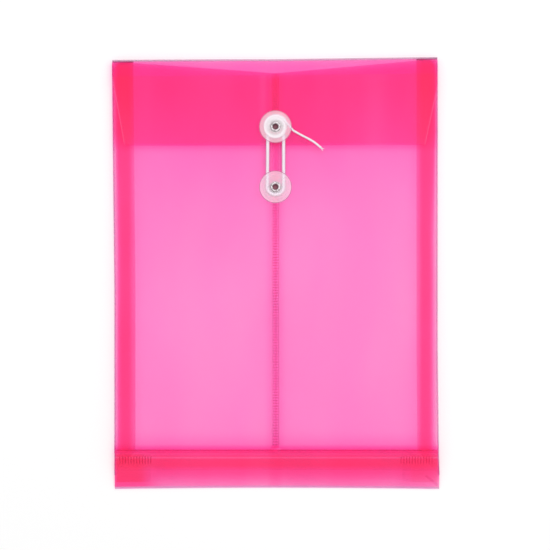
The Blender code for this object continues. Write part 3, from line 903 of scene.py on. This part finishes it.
def fray():
    """The loose end of the tail: the plies open into a small tuft."""
    tip = tail_route[-1]
    way = (tail_route[-1] - tail_route[-2]).normalized()
    side = Vector((-way.y, way.x, 0.0))
    up = Vector((0, 0, 1))
    line = bpy.data.curves.new("tail_fray", "CURVE")
    line.dimensions = "3D"
    line.bevel_depth = HAIR_R * MM
    line.bevel_resolution = 1
    line.use_fill_caps = True
    for k in range(HAIRS):
        turn = k * HAIR_TURN
        spread = HAIR_SPREAD * math.sqrt((k + 0.5) / HAIRS)
        start = side * (HAIR_ROOT * spread * math.cos(turn)) + up * (HAIR_ROOT * spread * math.sin(turn))
        open_out = side * (HAIR_OPEN * spread * math.cos(turn)) + up * (HAIR_LIFT * spread * math.sin(turn))
        reach = HAIR_LONG + HAIR_UNEVEN * math.sin(k * HAIR_WAVE)
        spline = line.splines.new("POLY")
        spline.points.add(HAIR_STEPS)
        for step, point in enumerate(spline.points):
            t = step / HAIR_STEPS
            place = tip + way * (reach * t - HAIR_SINK) + start + open_out * t * t
            point.co = (*(place * MM), 1.0)
            point.radius = 1.0 - 0.5 * t
    piece = made_mesh("tail_fray", line)
    close_up(piece, CORD_SMOOTH)
    return piece


tail_fray = fray()
bpy.data.objects.remove(section, do_unlink=True)

dress(loop_string, white_string, "string", "flap", "string_loop")
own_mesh(loop_string)
dress(winding_string, white_string, "string", "flap", "string_winding")
dress(tail_string, white_string, "string", "flap", "string_tail")
dress(tail_fray, white_string, "string", "flap")


# Film panels

# Back: flat on the table, its sides and foot turned over for the folds
ROLL_LAP = 0.4
BACK_TURN_Z = 0.5
SIDE_LOW = -154.0
back_sheet = film_blank("back_sheet", -SIDE, SIDE, HINGE_Y, ROLL_Y - ROLL_LAP, BACK_Z,
                        across=24, along=32)
fold_over(lambda p: p.y < HINGE_Y + NEAR, (0, HINGE_Y, BACK_TURN_Z), ACROSS, math.pi)
for sign in (1.0, -1.0):
    fold_over(lambda p: sign * p.x > SIDE - NEAR and p.y > SIDE_LOW,
              (sign * SIDE, 0, BACK_TURN_Z), ALONG, sign * math.pi)
finish_film(back_sheet)
dress(back_sheet, back_film, "film_panel", "back", "back_panel")

# Roll at the top. Its lower half has the back's tint.
ROLL_HALF = 123.95
ROLL_STEPS = 28
RIM_FACING = 0.70
roll_sheet = film_blank("roll_sheet", -ROLL_HALF, ROLL_HALF, ROLL_Y - ROLL_LAP, ROLL_Y, BACK_Z,
                        across=24, along=1)
fold_over(lambda p: p.y > ROLL_Y - NEAR, (0, ROLL_Y, ROLL_Z), ACROSS, -math.pi, ROLL_STEPS)
run_on(0, ROLL_END - ROLL_Y, 0)
finish_film(roll_sheet)
dress(roll_sheet, roll_film, "film_flap", None, "top_roll")
roll_sheet.data.materials.append(back_film)
roll_sheet.data.materials.append(rim_film)
for face in roll_sheet.data.polygons:
    if abs(face.normal.y) > RIM_FACING and face.center.y > ROLL_Y * MM:
        face.material_index = 2
    else:
        face.material_index = 1 if face.center.z < ROLL_Z * MM else 0
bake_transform(roll_sheet)

# Flap: its sides taper, a little more on the right, to rounded corners
CUT_WIDE = 0.8
CUT_ROOM = 0.1
LEFT_CUT = (-115.4, -HALF, 149.5, -1.0)
RIGHT_CUT = (114.7, HALF, 140.0, 1.0)
CORNER_X, CORNER_R = 114.0, 4.0
flap_sheet = film_blank("flap_sheet", -ROLL_HALF, ROLL_HALF, FLAP_LOW, ROLL_END, FLAP_Z,
                        across=26, along=12)
cut_lines = []
for x_low, x_top, y_top, sign in (LEFT_CUT, RIGHT_CUT):
    along = Vector((x_top - x_low, y_top - FLAP_LOW, 0.0)).normalized()
    outward = Vector((sign * abs(along.y), -abs(along.x), 0.0))
    foot = Vector((x_low, FLAP_LOW, FLAP_Z))
    pick_all()
    trim(foot, outward)
    pick_all()
    trim(foot - outward * CUT_WIDE, outward, keep_line=True)
    low_end = Vector((*settled(x_low, FLAP_LOW), 0.0))
    top_end = Vector((*settled(x_top, y_top), 0.0))
    along = (top_end - low_end).normalized()
    cut_lines.append((low_end, Vector((sign * abs(along.y), -abs(along.x), 0.0))))
round_corner(lambda p: p.y < FLAP_LOW + NEAR and abs(p.x) > CORNER_X, CORNER_R)
finish_film(flap_sheet, [(0, UPPER_Y, FLAP_Z)])
dress(flap_sheet, flap_film, "film_flap", "flap", "flap_panel")
# The strip along each cut side takes the painted highlight finish
flap_sheet.data.materials.append(cut_edge_highlight_film)
for face in flap_sheet.data.polygons:
    place = Vector((face.center.x / MM, face.center.y / MM, 0.0))
    face.material_index = int(any((place - foot).dot(outward) > -CUT_WIDE - CUT_ROOM
                                  for foot, outward in cut_lines))

# Front: two halves, the right one stepped up over the left one, with a shallow V at the mouth
MOUTH_MID, MOUTH_SIDE, MOUTH_X = 152.5, 160.9, 108.6
LAP_LOW = -132.9
LAP_LEFT, LAP_RIGHT = -3.0, 2.7
STEP_HEAD, STEP_FOOT = 3.3, 4.3
FRONT_TURN_Z = 5.835
front_left = film_blank("front_left_sheet", -SIDE, STEP_FOOT, HEM_Y, MOUTH_SIDE, FRONT_Z,
                        across=14, along=30)
pick_all()
trim((0, MOUTH_MID, FRONT_Z), Vector((MOUTH_SIDE - MOUTH_MID, MOUTH_X, 0)).normalized())
pick_all()
trim((LAP_RIGHT, 0, 0), ACROSS, keep_line=True)
pick(lambda p: p.x > LAP_RIGHT - NEAR)
trim((0, LAP_LOW, 0), ALONG, keep_line=True)
pick(lambda p: p.x > LAP_RIGHT and p.y > LAP_LOW, "FACE")
bpy.ops.mesh.delete(type="FACE")
fold_over(lambda p: p.x < -SIDE + NEAR, (-SIDE, 0, FRONT_TURN_Z), ALONG, math.pi)
finish_film(front_left, [(0, LOWER_Y, FRONT_Z)])
dress(front_left, front_left_film, "film_panel", "front", "front_left_panel")

front_right = film_blank("front_right_sheet", LAP_LEFT, SIDE, HEM_Y, MOUTH_SIDE, FRONT_Z,
                         across=14, along=30)
pick_all()
trim((0, MOUTH_MID, FRONT_Z), Vector((MOUTH_MID - MOUTH_SIDE, MOUTH_X, 0)).normalized())
for x in (STEP_HEAD, STEP_FOOT):
    pick_all()
    trim((x, 0, 0), ACROSS, keep_line=True)
pick(lambda p: p.x < STEP_FOOT + NEAR)
trim((0, LAP_LOW, 0), ALONG, keep_line=True)
pick(lambda p: p.x < STEP_FOOT and p.y < LAP_LOW, "FACE")
bpy.ops.mesh.delete(type="FACE")
pick(lambda p: p.x < STEP_HEAD + NEAR)
bpy.ops.transform.translate(value=at(0, 0, STEP))
fold_over(lambda p: p.x > SIDE - NEAR, (SIDE, 0, FRONT_TURN_Z), ALONG, -math.pi)
finish_film(front_right, [(0, LOWER_Y, FRONT_Z + STEP)])
dress(front_right, front_right_film, "film_panel", "front", "front_right_panel")

# Gussets: each one sheet, folded inwards along its middle
GUSSET_LOW, GUSSET_TOP = LOW + 10.0, 160.1
GUSSET_SLANT = 18.0
FOLD_X, FOLD_Z = 108.474, 3.157
FOLD_TURN, FOLD_STEPS = math.radians(165), 8
GUSSET_STRIPS = 6
ROLL_ROOM = 0.5
REAR_SHORT, REAR_SHORT_Z, REAR_SHORT_RUN = 4.0, 1.5, 0.6
GUSSET_RIM_Y = 161.4
for side, sign in (("left", -1.0), ("right", 1.0)):
    outer = sign * SIDE
    inner = outer - sign * GUSSET
    gusset = film_blank(side + "_gusset_sheet", min(outer, inner), max(outer, inner),
                        GUSSET_LOW, GUSSET_TOP, HINGE_Z, across=GUSSET_STRIPS, along=30)
    pick_all()
    trim((outer, GUSSET_LOW, HINGE_Z), Vector((-sign * GUSSET_SLANT, -GUSSET, 0.0)).normalized())
    tilt(sign * LEAN, "Y", (outer, 0, HINGE_Z))
    fold_x = sign * FOLD_X
    inner_z = HINGE_Z + GUSSET * math.sin(LEAN)
    fold_over(lambda p: p.z > inner_z - 2 * NEAR, (fold_x, 0, FOLD_Z), ALONG, -sign * FOLD_TURN, FOLD_STEPS)
    for k in range(GUSSET_STRIPS):
        run_on(sign * GUSSET * math.cos(LEAN) / GUSSET_STRIPS, 0, GUSSET * math.sin(LEAN) / GUSSET_STRIPS)
    pick(lambda p: p.y > GUSSET_TOP - 10 * NEAR)
    shape = bmesh.from_edit_mesh(gusset.data)
    for point in shape.verts:
        if point.select:
            height = point.co.z / MM
            end = ROLL_Y + math.sqrt((ROLL_R - ROLL_ROOM) ** 2 - (height - ROLL_Z) ** 2)
            point.co.y = (end - REAR_SHORT * ease((REAR_SHORT_Z - height) / REAR_SHORT_RUN)) * MM
    bmesh.update_edit_mesh(gusset.data)
    pick_all()
    trim((0, GUSSET_RIM_Y, 0), ALONG, keep_line=True)
    finish_film(gusset)
    keep_places(gusset)
    dress(gusset, gusset_film, "film_gusset", None, side + "_gusset_rear", side + "_gusset_front")
    gusset.data.materials.append(gusset_rim_film)
    for face in gusset.data.polygons:
        place = face.center / MM
        face.material_index = int(place.y - lean(place.x) > GUSSET_RIM_Y)
    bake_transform(gusset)

# Bottom: the tab turned up over the front, the hem welded under it and the gusset ends folded in
TAB_HALF, TAB_CORNER_R = 123.9, 1.5
FOOT_WIDE, FOOT_ROOM = 1.3, 0.1
HEM_HALF, HEM_LOW, HEM_HIGH = 123.0, 13.6, 26.6
END_INNER, END_OUTER, END_LOW, END_HIGH, END_CUT = 96.0, 122.5, 4.7, 25.4, 6.5
TAB_END = HINGE_Y + TAB_RUN
tab_sheet = film_blank("tab_sheet", -TAB_HALF, TAB_HALF, HINGE_Y, TAB_END, HINGE_Z, across=24, along=8)
pick_all()
trim((0, HINGE_Y + FOOT_WIDE, HINGE_Z), ALONG, keep_line=True)
round_corner(lambda p: p.y > TAB_END - NEAR and abs(p.x) > TAB_HALF - 10 * NEAR, TAB_CORNER_R)
lay_on_tab()
finish_film(tab_sheet)
dress(tab_sheet, tab_film, "film_bottom", "bottom", "bottom_tab")
tab_sheet.data.materials.append(foot_film)
for face in tab_sheet.data.polygons:
    place = face.center / MM
    face.material_index = int(place.y < settled(place.x, HINGE_Y + FOOT_WIDE - FOOT_ROOM)[1])

hem_sheet = film_blank("hem_sheet", -HEM_HALF, HEM_HALF, HINGE_Y + HEM_LOW, HINGE_Y + HEM_HIGH,
                       HINGE_Z - STEP, across=24, along=4)
lay_on_tab()
finish_film(hem_sheet)
dress(hem_sheet, hem_film, "film_bottom", "bottom", "front_hem")

for side, sign in (("left", -1.0), ("right", 1.0)):
    inner, outer = sign * END_INNER, sign * END_OUTER
    end_fold = film_blank(side + "_end_fold", min(inner, outer), max(inner, outer),
                          HINGE_Y + END_LOW, HINGE_Y + END_HIGH, HINGE_Z - 2 * STEP, across=8, along=5)
    pick_all()
    trim((inner, HINGE_Y + END_CUT, 0), Vector((-sign, -1.0, 0.0)).normalized())
    lay_on_tab()
    finish_film(end_fold)
    dress(end_fold, end_film, "film_bottom", "bottom", side + "_end_block")


# Welds

def weld_bar(name, x, y, z, wide, deep, high):
    """One mark of the welding tool: a low pad with rounded ends and edges."""
    clear_choice()
    bpy.ops.mesh.primitive_cube_add(size=1.0)
    bpy.context.object.scale = (wide * MM, deep * MM, high * MM)
    bpy.context.object.location = at(x, y, z)
    piece = lay_in_place(name)
    pick(lambda p: p.z > z)
    bpy.ops.mesh.bevel(offset=min(wide, deep) * 0.3 * MM, segments=2, affect="EDGES", clamp_overlap=True)
    return piece


def repeat(piece, count, dx, dy):
    bpy.ops.object.mode_set(mode="OBJECT")
    row = piece.modifiers.new("row", "ARRAY")
    row.use_relative_offset = False
    row.use_constant_offset = True
    row.constant_offset_displace = at(dx, dy, 0)
    row.count = count
    apply_all(piece)


# Ridges across the seam and lines along it, left out from the lower disc up to the flap's edge
TOOTH = 2.1
RIDGE_X, RIDGE_Z, RIDGE_SIZE = 0.3, 7.09, (5.4, 0.85, 0.18)
for name, low, count in (("seam_weld", -130.5, 89), ("seam_top_weld", 99.5, 24)):
    ridges = weld_bar(name, RIDGE_X, low, RIDGE_Z, *RIDGE_SIZE)
    repeat(ridges, count, 0.0, TOOTH)
    close_up(ridges, WELD_SMOOTH)
    dress(ridges, ridge_film, "film_panel", "front")

LINE_X, LINE_Z, LINE_WIDE, LINE_HIGH, LINE_APART = -1.7, 7.06, 0.9, 0.16, 2.1
for name, low, high in (("seam_line", -131.5, 55.5), ("seam_top_line", 99.0, 149.5)):
    line = weld_bar(name, LINE_X, (low + high) / 2, LINE_Z, LINE_WIDE, high - low, LINE_HIGH)
    repeat(line, 3, LINE_APART, 0.0)
    close_up(line, WELD_SMOOTH)
    dress(line, seam_film, "film_panel", "front")

# Marks at the ends of the bottom tab
BAR_Y, BAR_LIFT, BAR_SIZE = HINGE_Y + 21.2, 0.2, (0.75, 5.6, 0.14)
BAR_COUNT, BAR_APART = 12, 2.15
for side, start, finish in (("left", -118.7, bar_film), ("right", 95.8, faint_bar_film)):
    bars = weld_bar(side + "_end_weld", start, BAR_Y, HINGE_Z + BAR_LIFT, *BAR_SIZE)
    repeat(bars, BAR_COUNT, BAR_APART, 0.0)
    work_on(bars)
    lay_on_tab()
    close_up(bars, WELD_SMOOTH)
    dress(bars, finish, "film_bottom", "bottom")

# Lips along the tab's edge, their dark tint partly the bead and partly painted shadow of the edge, and the
# crease across its right corner
LIP_X, LIP_IN, LIP_LIFT, LIP_SIZE = 61.2, 0.35, 0.22, (119.6, 1.1, 0.2)
for side, sign in (("left", -1.0), ("right", 1.0)):
    lip = weld_bar(side + "_tab_lip", sign * LIP_X, TAB_END - LIP_IN, HINGE_Z + LIP_LIFT, *LIP_SIZE)
    lay_on_tab()
    close_up(lip, WELD_SMOOTH)
    dress(lip, lip_and_shadow_film, "film_bottom", "bottom")

CREASE_X, CREASE_Y, CREASE_TURN = 119.2, HINGE_Y + 5.2, math.radians(-41.0)
CREASE_SIZE = (11.6, 1.9, 0.12)
corner_crease = weld_bar("corner_crease", CREASE_X, CREASE_Y, HINGE_Z + BAR_LIFT, *CREASE_SIZE)
tilt(CREASE_TURN, "Z", (CREASE_X, CREASE_Y, HINGE_Z))
lay_on_tab()
close_up(corner_crease, WELD_SMOOTH)
dress(corner_crease, fold_film, "film_bottom", "bottom")

# Creases down both sides
SIDE_CREASE_Y, SIDE_CREASE_Z, SIDE_CREASE_SIZE = 3.0, 0.55, (1.2, 312.0, 0.3)
for side, x in (("left", -SIDE), ("right", SIDE)):
    crease = weld_bar(side + "_crease", x, SIDE_CREASE_Y, SIDE_CREASE_Z, *SIDE_CREASE_SIZE)
    pick_all()
    bpy.ops.mesh.subdivide(number_cuts=6)
    bpy.ops.object.mode_set(mode="OBJECT")
    settle(crease)
    close_up(crease, WELD_SMOOTH)
    dress(crease, crease_film, "film_panel", "back")


# Buttons: each ring of a profile is a radius and a height

DISC_RINGS = [
    (HOLE_R, 0.0), (12.0, 0.0), (12.45, 0.32), (12.45, 1.0), (12.2, 1.25), (11.9, 1.3), (11.5, 1.28),
    (11.2, 1.08), (10.8, 0.98), (9.5, 0.99), (9.2, 1.06), (8.95, 0.96), (8.8, 0.82), (2.95, 0.8),
    (HOLE_R, 0.72)]
RIM_R, WELL_R = 12.0, 8.85
HUB_FOOT = [(HOLE_R, 0.0), (4.4, 0.0), (4.5, 0.1), (4.2, 0.34)]
HUB_HEAD = [(4.2, -0.34), (4.5, -0.1), (4.4, 0.0), (HOLE_R, 0.0)]
WASHER_RINGS = [(HOLE_R, 0.0), (9.0, 0.0), (9.2, 0.12), (9.2, 0.3), (9.0, 0.4), (HOLE_R, 0.4)]
FLANGE_RINGS = [
    (2.0, -0.3), (2.06, 0.12), (2.25, 0.36), (2.6, 0.5), (3.0, 0.55), (3.45, 0.48), (3.8, 0.32),
    (3.98, 0.12), (3.9, 0.02), (3.6, 0.0), (2.4, 0.0)]
CURL_RINGS = [
    (2.4, 0.0), (3.3, 0.0), (3.55, -0.1), (3.6, -0.25), (3.5, -0.42), (3.2, -0.5), (2.5, -0.5),
    (2.15, -0.42), (2.0, -0.2)]
DISC_EDGE, HUB_EDGE, EYELET_EDGE = 0.06, 0.05, 0.04
BUTTON_SMOOTH, EYELET_SMOOTH = 35, 50
BORE_R, BORE_HIGH, BORE_DISH = 1.98, 0.5, ((0.35, 0.12), (0.7, 0.1))
UPPER_HUB, LOWER_HUB = (9.45, 13.35), (7.3, 9.0)
UPPER_WASHER, LOWER_WASHER = 8.1, 5.3
UPPER_RIM, LOWER_RIM = 14.75, 10.4
UPPER_CURL, LOWER_CURL = 7.8, 5.0
UPPER_BORE, LOWER_BORE = 11.5, 7.6


def disc(which, y, seat, body, ring, well):
    """A frosted disc with a raised rim, a shallow well and a fine ring at the well's edge. Its outer wall
    has a darker finish: a painted dark outline for the shade at the disc's edge.
    """
    piece = turned(which + "_button_disc", y, raised(DISC_RINGS, seat), DISC_EDGE, BUTTON_SMOOTH)
    dress(piece, ring, "disc", body, which + "_disc")
    piece.data.materials.append(frosted_shaded_edge)
    piece.data.materials.append(well)
    for face in piece.data.polygons:
        radius = math.hypot(face.center.x / MM, face.center.y / MM - y)
        face.material_index = 1 if radius > RIM_R else 2 if radius < WELL_R else 0


def hub(which, y, low, high, body):
    rings = raised(HUB_FOOT, low) + raised(HUB_HEAD, high)
    piece = turned(which + "_hub", y, rings, HUB_EDGE, BUTTON_SMOOTH)
    dress(piece, frosted_hub, "disc", body, which + "_spacer")


def washer(which, y, low, body):
    piece = turned(which + "_back_washer", y, raised(WASHER_RINGS, low), HUB_EDGE, BUTTON_SMOOTH)
    dress(piece, frosted_hub, "washer", body, which + "_washer")


def eyelet(which, y, rim, curl, body):
    """A hollow eyelet: a domed flange above, a plain barrel, and its end rolled out over the washer."""
    rings = raised(FLANGE_RINGS, rim) + raised(CURL_RINGS, curl)
    piece = turned(which + "_eyelet_shell", y, rings, EYELET_EDGE, EYELET_SMOOTH)
    dress(piece, nickel, "eyelet", body, which + "_eyelet")


def bore(which, y, low, body):
    """A dark dished disc set in the eyelet's bore: painted shade for the dark hollow inside it."""
    clear_choice()
    bpy.ops.mesh.primitive_circle_add(
        vertices=HOLE_STEPS, radius=BORE_R * MM, location=at(0, y, low), fill_type="NGON")
    piece = lay_in_place(which + "_bore_shade_disc")
    pick_all()
    bpy.ops.mesh.extrude_region_move(TRANSFORM_OT_translate={"value": at(0, 0, BORE_HIGH)})
    for wide, deep in BORE_DISH:
        bpy.ops.mesh.inset(thickness=wide * MM, depth=-deep * MM)
    close_up(piece, WELD_SMOOTH)
    dress(piece, bore_shade, "eyelet", body)


disc("upper", UPPER_Y, UPPER_SEAT, "upper_button", frosted_ring, frosted_well)
hub("upper", UPPER_Y, *UPPER_HUB, "flap")
washer("upper", UPPER_Y, UPPER_WASHER, "flap")
eyelet("upper", UPPER_Y, UPPER_RIM, UPPER_CURL, "flap")
bore("upper", UPPER_Y, UPPER_BORE, "flap")
disc("lower", LOWER_Y, LOWER_SEAT, "lower_button", frosted_white, frosted_white)
hub("lower", LOWER_Y, *LOWER_HUB, "front")
washer("lower", LOWER_Y, LOWER_WASHER, "front")
eyelet("lower", LOWER_Y, LOWER_RIM, LOWER_CURL, "front")
bore("lower", LOWER_Y, LOWER_BORE, "front")


# Floor and light, in metres

FLOOR_SIZE, FLOOR_Z = 6.0, -0.0002
FLOOR_PALE, FLOOR_PALER = (0.93, 0.93, 0.93), (0.95, 0.95, 0.95)
LIFT_NEAR, LIFT_FAR, LIFT_LOW, LIFT_HIGH = 0.15, 1.6, 0.12, 0.45
ROOM_LIGHT, BACKDROP_LIGHT = 0.76, 1.0
KEY_PLACE, KEY_SIZE, KEY_POWER = (0.16, 0.40, 1.40), 1.0, 9.65


def floor_paper():
    """Pale paper that is lifted towards white where it is seen, and keeps the shadow."""
    paper = bpy.data.materials.new("floor_paper")
    paper.use_nodes = True
    tree = paper.node_tree
    tree.nodes.clear()
    out = put(tree, "OutputMaterial")
    place = put(tree, "TexCoord")
    tooth = put(tree, "TexNoise", in_Scale=900.0, in_Detail=3.0)
    tree.links.new(place.outputs["Object"], tooth.inputs["Vector"])
    plain = put(tree, "BsdfPrincipled", in_Roughness=0.9)
    plain.inputs["Specular IOR Level"].default_value = 0.1
    colour = blend_colour(tree, tooth.outputs[0], FLOOR_PALE, FLOOR_PALER)
    tree.links.new(colour, plain.inputs["Base Color"])
    lift = put(tree, "Emission")
    path = put(tree, "LightPath")
    seen = calc(tree, "ADD", path.outputs["Is Camera Ray"], path.outputs["Is Glossy Ray"])
    seen = calc(tree, "ADD", seen, path.outputs["Is Transmission Ray"], clamp=True)
    reach = put(tree, "VectorMath", operation="LENGTH")
    tree.links.new(place.outputs["Object"], reach.inputs[0])
    sweep = ramp(tree, reach.outputs["Value"], LIFT_NEAR, LIFT_FAR, LIFT_LOW, LIFT_HIGH)
    tree.links.new(calc(tree, "MULTIPLY", seen, sweep), lift.inputs["Strength"])
    both = put(tree, "AddShader")
    tree.links.new(plain.outputs[0], both.inputs[0])
    tree.links.new(lift.outputs[0], both.inputs[1])
    tree.links.new(both.outputs[0], out.inputs[0])
    return paper


def studio_room():
    """Even soft light from all round, with a white backdrop for the camera."""
    world = bpy.data.worlds.new("studio")
    world.use_nodes = True
    tree = world.node_tree
    tree.nodes.clear()
    out = put(tree, "OutputWorld")
    camera_ray = put(tree, "LightPath").outputs["Is Camera Ray"]
    room = put(tree, "Background", in_Strength=ROOM_LIGHT)
    white = put(tree, "Background", in_Strength=BACKDROP_LIGHT)
    tree.links.new(mixed(tree, camera_ray, room, white).outputs[0], out.inputs[0])
    return world


def softbox(name, place, aim, size, power):
    light = bpy.data.lights.new(name, "AREA")
    light.shape = "SQUARE"
    light.size = size
    light.energy = power
    lamp = bpy.data.objects.new(name, light)
    lamp.location = place
    lamp.rotation_euler = (Vector(aim) - Vector(place)).to_track_quat("-Z", "Y").to_euler()
    scene.collection.objects.link(lamp)


clear_choice()
bpy.ops.mesh.primitive_plane_add(size=FLOOR_SIZE, location=(0, 0, FLOOR_Z))
floor = bpy.context.object
floor.name = "floor"
floor.data.materials.append(floor_paper())
floor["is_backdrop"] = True
scene.world = studio_room()
softbox("key_softbox", KEY_PLACE, (0.0, 0.0, 0.0), KEY_SIZE, KEY_POWER)

# Sizes

low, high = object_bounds()
